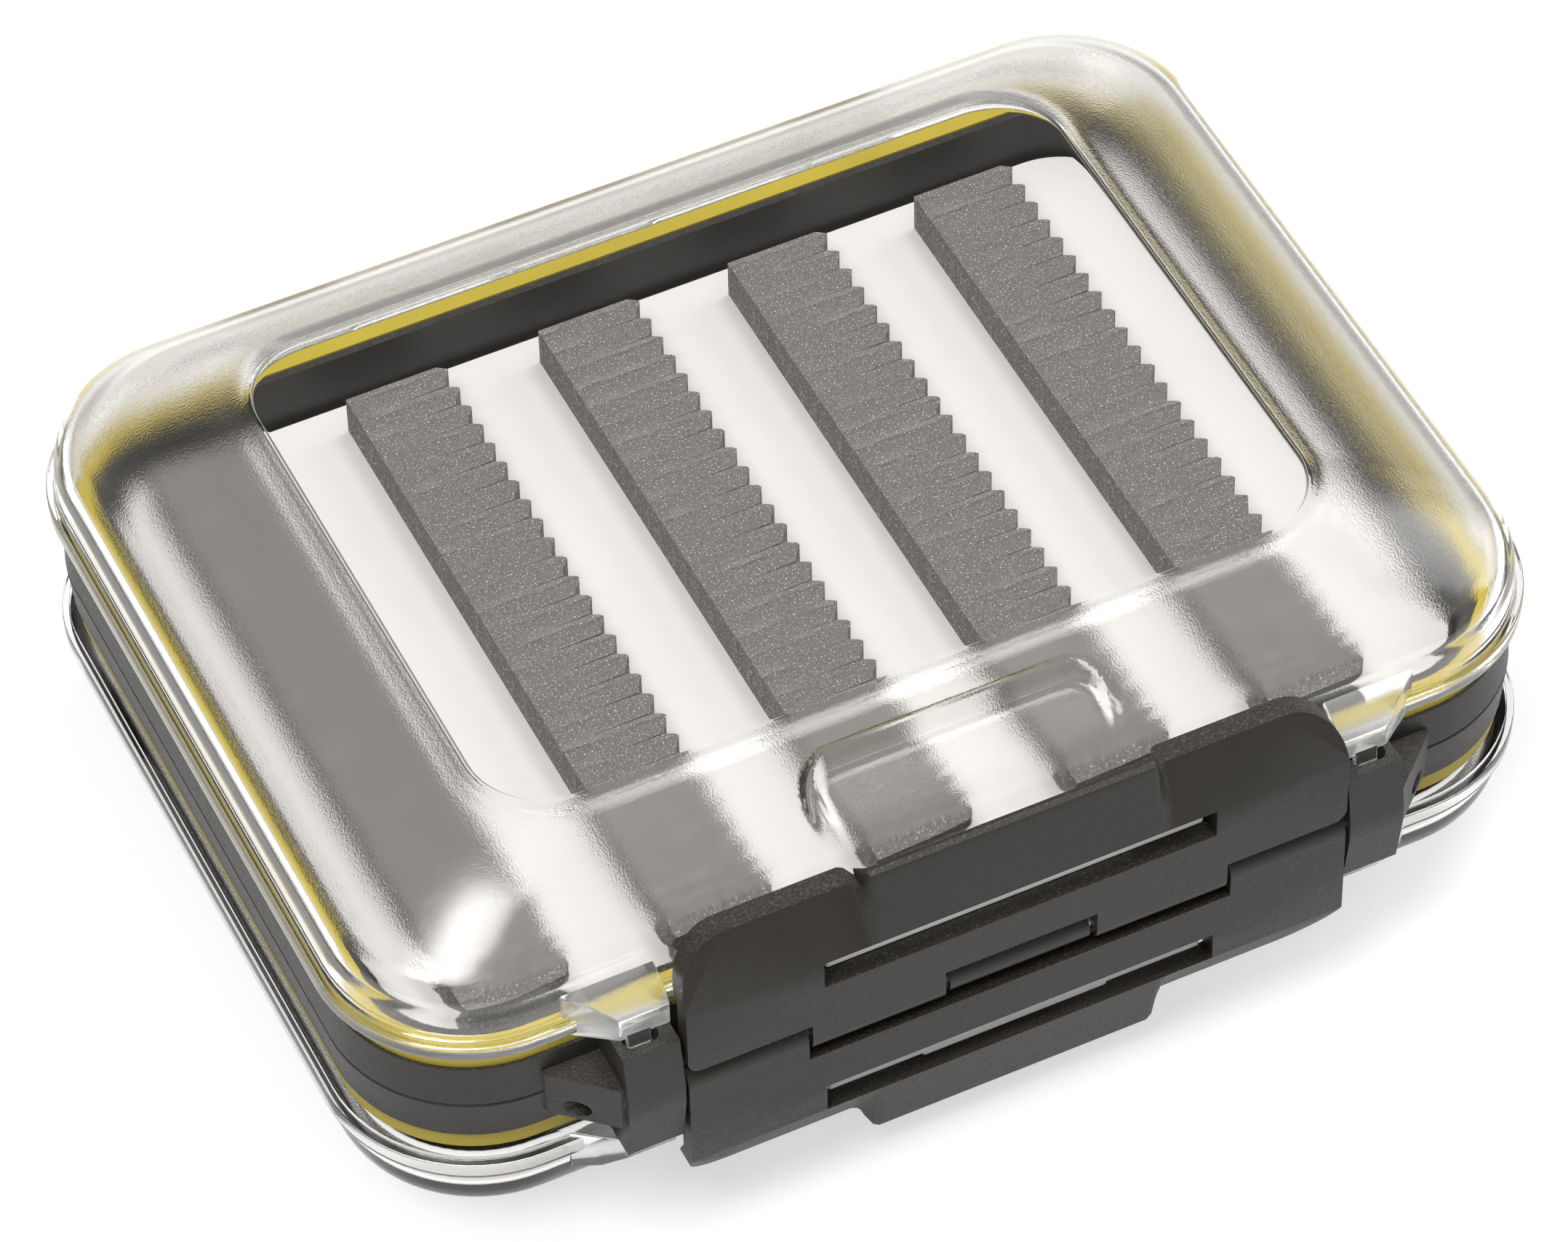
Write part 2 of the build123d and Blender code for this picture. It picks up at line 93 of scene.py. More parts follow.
# (inset from the outline, height, how far a corner is rounded), from the pane outwards and
# down, and then back up on the inside to the pane's underside
LID_OUTSIDE = [
    (PANE_IN, PANE_TOP, 0), (15.2, PANE_TOP, 0.04), (15.05, LID_TOP, 0.1),
    (CREST_IN, LID_TOP, 0.45), (8.85, 20.5, 2.3), (SLOPE_IN, 16.8, 0.95), (2.5, 15.9, 0.6),
    (1.6, 14.9, 0.6), (1.1, 13.4, 0.6), (LID_IN, FLANGE_HIGH, 0.1), (0.0, FLANGE_HIGH, 0.25),
    (0.0, FLANGE_LOW, 0.25), (LID_IN, FLANGE_LOW, 0.1), (LID_IN, LID_BOTTOM, 0.2),
]
LID_INSIDE = [
    (2.9, LID_BOTTOM, 0.2), (2.9, 9.4, 0.8), (3.1, 13.2, 0.8), (5.4, 15.3, 1.0),
    (9.8, 18.75, 2.2), (14.2, PANE_UNDER, 1.1), (PANE_IN, PANE_UNDER, 0),
]

# ---- thumb recess in the front slope
RECESS_X, RECESS_CORNER, RECESS_FILLET = 15.2, 3.0, 1.4
RECESS_BACK = 3.1               # from the crest's edge to the recess's back wall
RECESS_Y = -(WINDOW_Y + CREST_RING + RECESS_BACK)
RECESS_Z0, RECESS_Z1, RECESS_RUN = 15.3, 19.3, 10.0     # floor's heights and length
RECESS_WALL, RECESS_UNDER = 1.6, 1.72   # plastic beside it, and under its slanted floor
RECESS_ABOVE = 12.0             # rows below this height are out of its reach
WALL_RUN, WALL_RISE, WALL_SLOPE = 0.97, 0.757, 6    # wall's start, in shares of the fillet
BLEND_OUTSIDE, BLEND_INSIDE = 0.35, 0.6     # softness of its edge on the lid's two faces

# ---- how finely the lid's mesh is divided
CENTRE_COLUMNS = [0, 3, 6, 9, 11.5, 13]
WALL_COLUMNS = [13.3 + 0.2 * i for i in range(23)]      # close set, across the recess's wall
COLUMNS = CENTRE_COLUMNS + WALL_COLUMNS + [18.4, 20]
FRONT_STEPS, CORNER_STEPS, SIDE_STEPS, BACK_STEPS = 6, 16, 10, 14
FINE_FROM, FINE_TO = 6, 13.7    # insets between which the recess bends the slope
FINE_ROW, PLAIN_ROW = 0.25, 1.2
WIDE_ROUND, WIDE_STEPS, SMALL_STEPS = 1, 8, 4       # steps on wide and on small rounds

# ---- ears with their pegs
EAR_X, EAR_W, EAR_FLARE = 35.6, 5.2, 4.5        # inner end, width, and its slanted run
EAR_OUT, EAR_Z = 2.4, 10.4      # reach past the outline, and height of the front face
EAR_CUT, EAR_CUT_Z, EAR_RISE = 1.5, 1.6, 2.8    # bevel of its top edge, and rise to the lid
EAR_SPAN = (35, 46)             # of the prism that gives the ear its side view
PEG_IN, PEG_W, PEG_T, PEG_H = 3.2, 2.4, 0.9, 1.9    # place, width, thickness and length
PEG_SINK = 0.05                 # peg's front behind the ear's

# ---- catch rib and hinge
RIB_PARTS = ((20.1, 1.6), (10.0, 2.0))          # half width and thickness of each step
RIB_Z, RIB_RISE = 8.5, 0.15     # its underside, and how much thicker its root is
RIB_GAP, RIB_OUT = 0.1, 3.9     # from the lid's wall to its root, from the outline to its tip
HINGE_BACK, HINGE_Z, HINGE_R, HINGE_HOLE_R = 2.0, 4.4, 2.2, 1.05
HINGE_Y = HALF_Y + HINGE_BACK
KNUCKLE_X0, KNUCKLE_X1, HOLE_X = 8.0, 25.7, 30.0        # a knuckle's ends, the hole's reach
ARM_BACK = 0.2                  # from the outline to each face of the arm, at the flange
ARM_OUT, ARM_UP, ARM_FOOT = 0.87, 0.5, 0.8      # arm's ends, in shares of HINGE_R

# ---- rounding: widths in millimetres, angles in degrees
EAR_ROUND, PEG_ROUND, RIB_ROUND, LATCH_ROUND, FRAME_ROUND = 0.25, 0.15, 0.3, 0.35, 0.15
MADE_EDGE, CAD_EDGE, BEVEL_SEGMENTS = 30, 35, 3
SHARP, LID_SHARP = 35, 32
WELD_DISTANCE = 1e-6            # metres
ROD_STEPS = 48

# ---- frost on the outside of a lid, between its shoulder and the window
FROST_OUT, FROST_SOFT = 0.5, 0.2        # where it starts, and the width it comes in over
SHOULDER_IN, SHOULDER_SOFT = 3.0, 0.8
CLOUD_Y0, CLOUD_Y1, CLOUD_GAIN = 33.0, 41.0, 2.9        # rougher towards the back wall
POLISHED, PLASTIC_IOR = 0.015, 1.5

# ---- camera at the photograph's viewing angle, in degrees, millimetres and pixels
AZIMUTH, ELEVATION, ROLL = -24.6, 48.26, -1.6
DISTANCE, SHIFT_RIGHT, SHIFT_UP = 750.4, 0.355, -2.905
FOCAL_PX, WIDTH_PX, SENSOR = 10325, 2156, 36.0
CLIP_NEAR, CLIP_FAR = 0.05, 20          # metres

# ---- light and floor, in metres and watts
ROOM_LIGHT, CARD_LIGHT, TOP_LIGHT, FLOOR_GLOW = 0.3, 0.1, 0.9, 0.6
CARD_WAY = (0.277, 0.605, 0.746)        # where the flat pane mirrors the camera's view
TOP_WAY = (0.1, -0.25, 0.963)
LAMPS = (       # name, place, side length, power
    ("key", (-0.35, -0.21, 0.88), 0.4, 6.0),
    ("top", (0.27, 0.14, 0.93), 0.3, 2.4),
    ("side", (0.75, 0.05, 0.5), 0.5, 2.4),
)
LAMP_TARGET = Vector((0, 0, 0.02))
FLOOR_SIZE, FLOOR_DROP, FLOOR_COLOUR, FLOOR_ROUGH = 3, 0.0002, (0.45, 0.45, 0.45), 0.9
WHITE = (1, 1, 1, 1)

# ---- mirror images: left for right, and the upper side for the lower
ACROSS = Matrix.Diagonal((-1, 1, 1, 1))
UNDER = Matrix.Translation((0, 0, 2 * MID_Z * MM)) @ Matrix.Diagonal((1, 1, -1, 1))


# ------------------------------------------------------------------ node helpers
def new_material(name):
    """Material with its node tree and its main shader."""
    material = bpy.data.materials.new(name)
    material.use_nodes = True
    return material, material.node_tree, material.node_tree.nodes["Principled BSDF"]


def feed(tree, node, key, value):
    """Links a socket to a node's input, or sets that input to a plain value."""
    if isinstance(value, bpy.types.NodeSocket):
        tree.links.new(value, node.inputs[key])
    else:
        node.inputs[key].default_value = value


def add(tree, kind, inputs=None, **settings):
    """New node with some settings and inputs; an input is a value or a socket."""
    node = tree.nodes.new(kind)
    for key, value in settings.items():
        setattr(node, key, value)
    for key, value in (inputs or {}).items():
        feed(tree, node, key, value)
    return node


def maths(tree, operation, *values):
    """Result of a Math node."""
    return add(tree, "ShaderNodeMath", dict(enumerate(values)), operation=operation).outputs[0]


def place(tree):
    """Position on the piece at rest, in metres."""
    return add(tree, "ShaderNodeTexCoord").outputs["Object"]


def part_of(tree, vector, axis):
    """One coordinate of a vector."""
    return add(tree, "ShaderNodeSeparateXYZ", {0: vector}).outputs[axis]


def noise(tree, scale, detail=2.0, roughness=0.5, stretch=None):
    """Cloudy pattern from 0 to 1, with about scale waves to a metre."""
    at = place(tree)
    if stretch:
        at = add(tree, "ShaderNodeMapping", {"Vector": at, "Scale": stretch}).outputs[0]
    inputs = {"Vector": at, "Scale": scale, "Detail": detail, "Roughness": roughness}
    return add(tree, "ShaderNodeTexNoise", inputs).outputs["Fac"]


def spread(tree, value, given, wanted=(0, 1)):
    """Value carried from one range to another, clamped."""
    inputs = {0: value, 1: given[0], 2: given[1], 3: wanted[0], 4: wanted[1]}
    return add(tree, "ShaderNodeMapRange", inputs).outputs[0]


def mix_colour(tree, factor, a, b):
    """Mix of two colours; each is three numbers or a socket."""
    a, b = (c if isinstance(c, bpy.types.NodeSocket) else (*c, 1) for c in (a, b))
    return add(tree, "ShaderNodeMix", {0: factor, 6: a, 7: b}, data_type="RGBA").outputs[2]


def bump(tree, shader, height, depth, strength):
    """Relief on a shader, as deep as depth millimetres."""
    inputs = {"Height": height, "Distance": depth * MM, "Strength": strength}
    feed(tree, shader, "Normal", add(tree, "ShaderNodeBump", inputs).outputs[0])


# --------------------------------------------------------------------- materials
def dark_plastic(name, base, worn):
    """Moulded dark plastic, grainy on the faces that point up or down, with light specks there as
    painted glints.
    """
    painted_glint_colour = (0.13, 0.123, 0.114)
    material, tree, shader = new_material(name)
    normal = add(tree, "ShaderNodeTexCoord").outputs["Normal"]
    level = maths(tree, "ABSOLUTE", part_of(tree, normal, "Z"))
    flat = spread(tree, level, (0.55, 0.9), (0.1, 0.9))
    colour = mix_colour(tree, spread(tree, noise(tree, 60, 3), (0.35, 0.7)), base, worn)
    # painted glints: light specks mixed into the colour on the faces that point up or down
    speck = spread(tree, noise(tree, 4200, 1), (0.58, 0.72), (0, 0.55))
    shown = maths(tree, "MULTIPLY", speck, flat)
    feed(tree, shader, "Base Color", mix_colour(tree, shown, colour, painted_glint_colour))
    grain = noise(tree, 3600, 2, 0.6)
    feed(tree, shader, "Roughness", spread(tree, grain, (0.3, 0.75), (0.4, 0.58)))
    bump(tree, shader, grain, 0.1, flat)
    return material


def rubber(name, base, dark):
    """Soft moulded seal, slightly uneven in colour and shine."""
    material, tree, shader = new_material(name)
    cloud = spread(tree, noise(tree, 110, 3), (0.35, 0.7))
    feed(tree, shader, "Base Color", mix_colour(tree, cloud, base, dark))
    feed(tree, shader, "Roughness", spread(tree, noise(tree, 2500), (0.3, 0.7), (0.34, 0.48)))
    bump(tree, shader, noise(tree, 1400), 0.02, 0.4)
    return material


def card(name):
    """Smooth warm white card."""
    light, dark = (0.88, 0.866, 0.852), (0.85, 0.835, 0.82)
    material, tree, shader = new_material(name)
    cloud = spread(tree, noise(tree, 45, 4), (0.3, 0.75))
    feed(tree, shader, "Base Color", mix_colour(tree, cloud, light, dark))
    feed(tree, shader, "Roughness", spread(tree, noise(tree, 900), (0.3, 0.7), (0.35, 0.5)))
    return material


def foam(name):
    """Closed-cell foam: fine cells, some painted as glints that catch the light, and at each slit
    a painted light band and a painted shade line.
    """
    dark_cell, light_cell = (0.135, 0.127, 0.118), (0.255, 0.243, 0.228)
    # colours of the painted light band, the painted shade line at a slit, and the painted glints
    painted_light_band, slit, glint = (0.4, 0.385, 0.365), (0.06, 0.056, 0.052), (0.72, 0.7, 0.66)
    material, tree, shader = new_material(name)
    cells = add(tree, "ShaderNodeTexVoronoi", {"Vector": place(tree), "Scale": 3000})
    fine = spread(tree, noise(tree, 4200, 3, 0.7), (0.3, 0.72))
    shade = mix_colour(tree, fine, dark_cell, light_cell)
    # how far through one tooth's pitch a point lies, with a sway from side to side
    pitches = maths(tree, "DIVIDE", part_of(tree, place(tree), "Y"), FOAM_PITCH * MM)
    sway = noise(tree, 350, 2, stretch=(1, 1, 0.1))
    turn = maths(tree, "FRACT", maths(tree, "MULTIPLY_ADD", sway, BAND_SWAY, pitches))
    patches = spread(tree, noise(tree, 260, 2), (0.4, 0.65), (0, 0.3))
    # painted light: a lighter band over each tooth's pitch; painted shade: a dark line at its
    # slit
    for given, wanted, colour in (((0.0, 0.5), (1, 0), painted_light_band), ((0.8, 0.95), (0, 1), slit)):
        band = maths(tree, "MULTIPLY", spread(tree, turn, given, wanted), patches)
        shade = mix_colour(tree, band, shade, colour)
    speck = spread(tree, noise(tree, 5000, 1), (0.64, 0.7))
    feed(tree, shader, "Base Color", mix_colour(tree, speck, shade, glint))
    feed(tree, shader, "Roughness", 0.9)
    feed(tree, shader, "Specular IOR Level", 0.2)
    bump(tree, shader, cells.outputs["Distance"], 0.12, 0.7)
    return material


def steel(name):
    """Drawn steel wire, streaked along X."""
    material, tree, shader = new_material(name)
    drawn = noise(tree, 900, 2, stretch=(0.04, 1, 1))
    colour = mix_colour(tree, drawn, (0.5, 0.5, 0.5), (0.68, 0.67, 0.66))
    feed(tree, shader, "Base Color", colour)
    feed(tree, shader, "Metallic", 1.0)
    feed(tree, shader, "Roughness", spread(tree, drawn, (0.3, 0.7), (0.22, 0.4)))
    return material


def outside_outline(tree, half_x, half_y, radius, soft):
    """0 inside a rounded outline in the plane of the lid, and 1 outside it."""
    at = place(tree)
    past = []
    for axis, half in (("X", half_x), ("Y", half_y)):
        size = maths(tree, "ABSOLUTE", part_of(tree, at, axis))
        over = maths(tree, "SUBTRACT", size, (half - radius) * MM)
        past.append(maths(tree, "MAXIMUM", over, 0.0))
    corner = add(tree, "ShaderNodeCombineXYZ", {0: past[0], 1: past[1]}).outputs[0]
    length = add(tree, "ShaderNodeVectorMath", {0: corner}, operation="LENGTH").outputs["Value"]
    return spread(tree, length, (radius * MM, (radius + soft) * MM))


def straight_light(tree, shader, tint):
    """Lets light through a clear piece without bending it, for what lies behind."""
    passing = add(tree, "ShaderNodeBsdfTransparent", {"Color": (*tint, 1)}).outputs[0]
    path = add(tree, "ShaderNodeLightPath").outputs
    straight = maths(tree, "MAXIMUM", path["Is Shadow Ray"], path["Is Diffuse Ray"])
    mix = add(tree, "ShaderNodeMixShader", {0: straight, 1: shader.outputs[0], 2: passing})
    feed(tree, tree.nodes["Material Output"], "Surface", mix.outputs[0])


def clear_plastic(name, frost_low, frost_high, grain_strength):
    """Clear lid, frosted between its shoulder and the window."""
    clear_tint, frost_tint = (0.985, 0.98, 0.974), (0.95, 0.938, 0.92)
    material, tree, shader = new_material(name)
    window = [size + FROST_OUT for size in (WINDOW_X, WINDOW_Y, WINDOW_R)]
    shoulder = [size - SHOULDER_IN for size in (HALF_X, HALF_Y, CORNER_R)]
    frosted = maths(tree, "SUBTRACT", outside_outline(tree, *window, FROST_SOFT),
                    outside_outline(tree, *shoulder, SHOULDER_SOFT))
    speck = spread(tree, noise(tree, 5200, 2, 0.6), (0.3, 0.7), (frost_low, frost_high))
    depth = part_of(tree, place(tree), "Y")
    cloudier = spread(tree, depth, (CLOUD_Y0 * MM, CLOUD_Y1 * MM), (1.0, CLOUD_GAIN))
    rough = maths(tree, "MULTIPLY", frosted, maths(tree, "MULTIPLY", cloudier, speck))
    feed(tree, shader, "Roughness", maths(tree, "ADD", rough, POLISHED))
    feed(tree, shader, "Base Color", mix_colour(tree, frosted, clear_tint, frost_tint))
    feed(tree, shader, "Transmission Weight", 1.0)
    feed(tree, shader, "IOR", PLASTIC_IOR)
    grain = maths(tree, "MULTIPLY", frosted, noise(tree, 4600, 2, 0.6))
    bump(tree, shader, grain, 0.04, grain_strength)
    straight_light(tree, shader, (0.94, 0.937, 0.932))
    return material


def milky_and_painted_light_plastic(name, clear):
    """Ears and ribs of a lid: an ear is cloudy where the mould left it so, and a barely clear rib
    shows its white as painted light for the light it carries in from the lid's inside.
    """
    material, tree, shader = new_material(name)
    feed(tree, shader, "Roughness", spread(tree, noise(tree, 1800), (0.3, 0.7), (0.08, 0.2)))
    colour = mix_colour(tree, noise(tree, 160, 3), (0.95, 0.95, 0.94), (1.0, 1.0, 0.99))
    feed(tree, shader, "Base Color", colour)
    feed(tree, shader, "Transmission Weight", clear)
    feed(tree, shader, "IOR", PLASTIC_IOR)
    straight_light(tree, shader, (0.9, 0.9, 0.89))
    return material


FINISH = {
    "frame": dark_plastic("frame", (0.0175, 0.0148, 0.0118), (0.023, 0.0195, 0.016)),
    "latch": dark_plastic("latch", (0.0158, 0.0124, 0.0085), (0.0208, 0.0166, 0.0122)),
    "gasket": rubber("gasket", (0.54, 0.43, 0.04), (0.48, 0.38, 0.04)),
    "insert": card("insert"),
    "foam": foam("foam"),
    "pin": steel("pin"),
    "clear_lid": clear_plastic("clear_lid", 0.1, 0.15, 0.75),
    "clear_inside": clear_plastic("clear_inside", 0.03, 0.06, 0.1),
    "ear": milky_and_painted_light_plastic("ear", 0.92),
    # painted light: the rib is made mostly white and diffuse to stand for the light it carries in
    # from the lid's bright inside
    "rib": milky_and_painted_light_plastic("rib", 0.3),
}


def paint(item, finish):
    """Gives a piece one finish in place of what it had."""
    item.data.materials.clear()
    item.data.materials.append(FINISH[finish])


# ------------------------------------------------------------------- mesh helpers
def in_scene(name, data):
    """Object with its data, linked to the scene."""
    item = bpy.data.objects.new(name, data)
    bpy.context.scene.collection.objects.link(item)
    return item


def smooth(mesh, angle):
    """Smooth shading, with edges kept sharp past an angle in degrees."""
    mesh.polygons.foreach_set("use_smooth", [True] * len(mesh.polygons))
    mesh.set_sharp_from_angle(angle=math.radians(angle))


def new_piece(name, corners, faces):
    """Mesh object from points in millimetres above the middle plane."""
    mesh = bpy.data.meshes.new(name)
    points = [(x * MM, y * MM, (z + MID_Z) * MM) for x, y, z in corners]
    mesh.from_pydata(points, [], faces)
    bm = bmesh.new()
    bm.from_mesh(mesh)
    bmesh.ops.recalc_face_normals(bm, faces=bm.faces)
    bm.to_mesh(mesh)
    bm.free()
    smooth(mesh, SHARP)
    return in_scene(name, mesh)


def prism(points, axis, start, end, name="tool"):
    """Outline drawn out along X (points are y, z) or Z (points are x, y)."""
    count = len(points)
    if axis == "X":
        corners = [(at, a, b) for at in (start, end) for a, b in points]
    else:
        corners = [(a, b, at) for at in (start, end) for a, b in points]
    faces = [tuple(range(count)), tuple(range(2 * count - 1, count - 1, -1))]
    faces += [(i, i + count, (i + 1) % count + count, (i + 1) % count) for i in range(count)]
    return new_piece(name, corners, faces)


def rod(radius, start, end, y, z):
    """Round bar along X."""
    turns = [2 * math.pi * i / ROD_STEPS for i in range(ROD_STEPS)]
    points = [(y + radius * math.cos(turn), z + radius * math.sin(turn)) for turn in turns]
    return prism(points, "X", start, end)


def bake(item):
    """Applies an object's modifiers to its mesh."""
    bpy.context.view_layer.update()
    graph = bpy.context.evaluated_depsgraph_get()
    mesh = bpy.data.meshes.new_from_object(item.evaluated_get(graph))
    item.modifiers.clear()
    item.data = mesh
    return item


def round_edges(item, width, angle):
    """Bevel modifier on the edges that turn by more than an angle in degrees."""
    edge = item.modifiers.new("edge", "BEVEL")
    edge.width = width * MM
    edge.segments = BEVEL_SEGMENTS
    edge.limit_method = "ANGLE"
    edge.angle_limit = math.radians(angle)
    return item


def combine(item, tool, operation):
    """Joins, cuts or intersects two closed meshes; each face keeps its own material."""
    cut = item.modifiers.new("cut", "BOOLEAN")
    cut.operation = operation
    cut.object = tool
    cut.solver = "EXACT"
    cut.material_mode = "TRANSFER"
    bake(item)
    bpy.data.objects.remove(tool)
    return item


def mirrored(item, name, flip):
    """Mirror image of a piece."""
    mesh = item.data.copy()
    mesh.transform(flip)
    mesh.flip_normals()
    return in_scene(name, mesh)


# -------------------------------------------------------------------- CAD pieces
def dress():
    """Gives each CAD node the finish of its slot."""
    for row in frame["record"]["subparts"]:
        paint(frame["nodes"][row["node"]], row["material_slot"])


def soften(node, width):
    """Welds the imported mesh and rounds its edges."""
    item = frame["nodes"][node]
    weld = item.modifiers.new("weld", "WELD")
    weld.merge_threshold = WELD_DISTANCE
    round_edges(item, width, CAD_EDGE)
    item.modifiers.new("normals", "WEIGHTED_NORMAL")


# -------------------------------------------------------------------------- lids
def spaced(start, end, steps):
    """Evenly spaced values from start to end, both included."""
    return [start + (end - start) * i / steps for i in range(steps + 1)]


def loop_size(inset):
    """Half length, half depth and corner radius of a lid's loop."""
    if inset <= SLOPE_IN:
        return HALF_X - inset, HALF_Y - inset, CORNER_R - inset
    out = CREST_RING - max(inset - CREST_IN, 0)
    crest = (WINDOW_X + out, WINDOW_Y + out, WINDOW_R + out)
    if inset >= CREST_IN:
        return crest
    share = (inset - SLOPE_IN) / (CREST_IN - SLOPE_IN)
    edge = (HALF_X - SLOPE_IN, HALF_Y - SLOPE_IN, CORNER_R - SLOPE_IN)
    return tuple(a + (b - a) * share for a, b in zip(edge, crest))


def loop_points(inset):
    """Points of a loop, counter-clockwise from the front's left end."""
    half_x, half_y, radius = loop_size(inset)
    flat_x, flat_y = half_x - radius, half_y - radius

    def corner(cx, cy, start):
        """Points of a quarter circle, without its two ends."""
        turns = spaced(start, start + math.pi / 2, CORNER_STEPS)[1:-1]
        return [(cx + radius * math.cos(turn), cy + radius * math.sin(turn)) for turn in turns]

    half = COLUMNS + spaced(COLUMNS[-1], flat_x, FRONT_STEPS)[1:]
    front = [-x for x in reversed(half[1:])] + half
    points = [(x, -half_y) for x in front]
    points += corner(flat_x, -flat_y, -math.pi / 2)
    points += [(half_x, y) for y in spaced(-flat_y, flat_y, SIDE_STEPS)]
    points += corner(flat_x, flat_y, 0)
    points += [(x, half_y) for x in spaced(flat_x, -flat_x, BACK_STEPS)]
    points += corner(-flat_x, flat_y, math.pi / 2)
    points += [(-half_x, y) for y in spaced(flat_y, -flat_y, SIDE_STEPS)]
    points += corner(-flat_x, -flat_y, math.pi)
    return points


def rounded_profile(corners):
    """Rounds a profile's corners and gives it enough rows to bend."""
    path = []
    for i, (inset, z, trim) in enumerate(corners):
        if not trim or i in (0, len(corners) - 1):
            path.append((inset, z))
            continue
        here = Vector((inset, z))
        before, after = Vector(corners[i - 1][:2]), Vector(corners[i + 1][:2])
        start = here + (before - here).normalized() * trim
        end = here + (after - here).normalized() * trim
        for t in spaced(0, 1, WIDE_STEPS if trim > WIDE_ROUND else SMALL_STEPS):
            path.append(tuple(start * (1 - t) ** 2 + here * 2 * t * (1 - t) + end * t * t))
    rows = [path[0]]
    for a, b in zip(path, path[1:]):
        fine = min(a[0], b[0]) > FINE_FROM and max(a[0], b[0]) < FINE_TO
        count = max(1, math.ceil(math.dist(a, b) / (FINE_ROW if fine else PLAIN_ROW)))
        rows += list(zip(spaced(a[0], b[0], count), spaced(a[1], b[1], count)))[1:]
    return rows


def soft_min(a, b, blend):
    """The smaller of two values, rounded where they cross."""
    reach = max(blend - abs(a - b), 0) / blend
    return min(a, b) - reach * reach * blend / 4


def recess_height(x, y, grow, drop):
    """Height of the thumb recess's floor and walls over a point."""
    corner = RECESS_CORNER + grow
    past_x = abs(x) - (RECESS_X + grow - corner)
    past_y = y - (RECESS_Y + grow - corner)
    away = min(max(past_x, past_y), 0) + math.hypot(max(past_x, 0), max(past_y, 0)) - corner
    along = (y - RECESS_Y + RECESS_RUN) / RECESS_RUN
    height = RECESS_Z0 + (RECESS_Z1 - RECESS_Z0) * along - drop
    run = away + RECESS_FILLET
    if run > RECESS_FILLET * WALL_RUN:
        height += RECESS_FILLET * WALL_RISE + (run - RECESS_FILLET * WALL_RUN) * WALL_SLOPE
    elif run > 0:
        height += RECESS_FILLET - math.sqrt(RECESS_FILLET ** 2 - run ** 2)
    return height


def lid_shell():
    """Closed shell of a lid above the middle plane, with its thumb recess."""
    outside, inside = rounded_profile(LID_OUTSIDE), rounded_profile(LID_INSIDE)
    rows = [(inset, z, 0, 0, BLEND_OUTSIDE) for inset, z in outside]
    rows += [(inset, z, RECESS_WALL, RECESS_UNDER, BLEND_INSIDE) for inset, z in inside]
    corners = []
    for inset, z, grow, drop, blend in rows:
        for x, y in loop_points(inset):
            height = z
            if z > RECESS_ABOVE and y < 0:
                height = soft_min(z, recess_height(x, y, grow, drop), blend)
            corners.append((x, y, height))
    count = len(corners) // len(rows)
    total = len(corners)
    faces = [tuple(range(count)), tuple(range(total - 1, total - count - 1, -1))]
    for base in range(0, total - count, count):
        for i in range(count):
            j = (i + 1) % count
            faces.append((base + i, base + count + i, base + count + j, base + j))
    shell = new_piece("upper_lid_clear", corners, faces)
    for face in shell.data.polygons:
        face.material_index = int(min(face.vertices) >= len(outside) * count)
    for finish in ("clear_lid", "clear_inside"):
        shell.data.materials.append(FINISH[finish])
    return shell


def lid_ear():
    """Right ear of a lid, with the peg that hangs from it."""
    wall, front = OVERLAP - WALL_Y, -HALF_Y - EAR_OUT
    corner = EAR_X + EAR_W
    flare = corner + EAR_FLARE
    plan = [(EAR_X, wall), (EAR_X, front), (corner, front), (flare, -WALL_Y), (flare, wall)]
    side = [(wall, LID_BOTTOM), (front, LID_BOTTOM), (front, EAR_Z),
            (front + EAR_CUT, EAR_Z + EAR_CUT_Z), (wall, EAR_Z + EAR_RISE)]
    ear = combine(prism(plan, "Z", LID_BOTTOM, EAR_Z + EAR_RISE),
                  prism(side, "X", *EAR_SPAN), "INTERSECT")
    bake(round_edges(ear, EAR_ROUND, MADE_EDGE))
    left, right = (EAR_X + PEG_IN + way * PEG_W / 2 for way in (-1, 1))
    near, far = front + PEG_SINK, front + PEG_T
    peg = prism([(left, near), (left, far), (right, far), (right, near)],
                "Z", LID_BOTTOM - PEG_H, LID_BOTTOM + OVERLAP)
    combine(ear, bake(round_edges(peg, PEG_ROUND, MADE_EDGE)), "UNION")
    paint(ear, "ear")
    return ear


def catch_rib():
    """Rib that snaps into a latch's slot, thicker in the middle."""
    root = -WALL_Y - RIB_GAP
    tip = -HALF_Y - RIB_OUT
    steps = []
    for half, thick in RIB_PARTS:
        outline = [(root, RIB_Z), (tip, RIB_Z), (tip, RIB_Z + thick),
                   (root, RIB_Z + thick + RIB_RISE)]
        step = prism(outline, "X", -half, half, "upper_catch_rib")
        steps.append(bake(round_edges(step, RIB_ROUND, MADE_EDGE)))
    rib = combine(*steps, "UNION")
    paint(rib, "rib")
    return rib


def lid_knuckle(start, end):
    """Lid's half of a hinge, with the arm that hangs from the flange."""
    inner = WALL_Y - OVERLAP
    arm = [
        (inner, FLANGE_HIGH), (HALF_Y + ARM_BACK, FLANGE_HIGH),
        (HINGE_Y + ARM_OUT * HINGE_R, HINGE_Z + ARM_UP * HINGE_R), (HINGE_Y, HINGE_Z),
        (HINGE_Y - ARM_FOOT * HINGE_R, HINGE_Z), (HALF_Y - ARM_BACK, FLANGE_LOW),
        (inner, FLANGE_LOW),
    ]
    knuckle = rod(HINGE_R, start, end, HINGE_Y, HINGE_Z)
    return combine(prism(arm, "X", start, end), knuckle, "UNION")


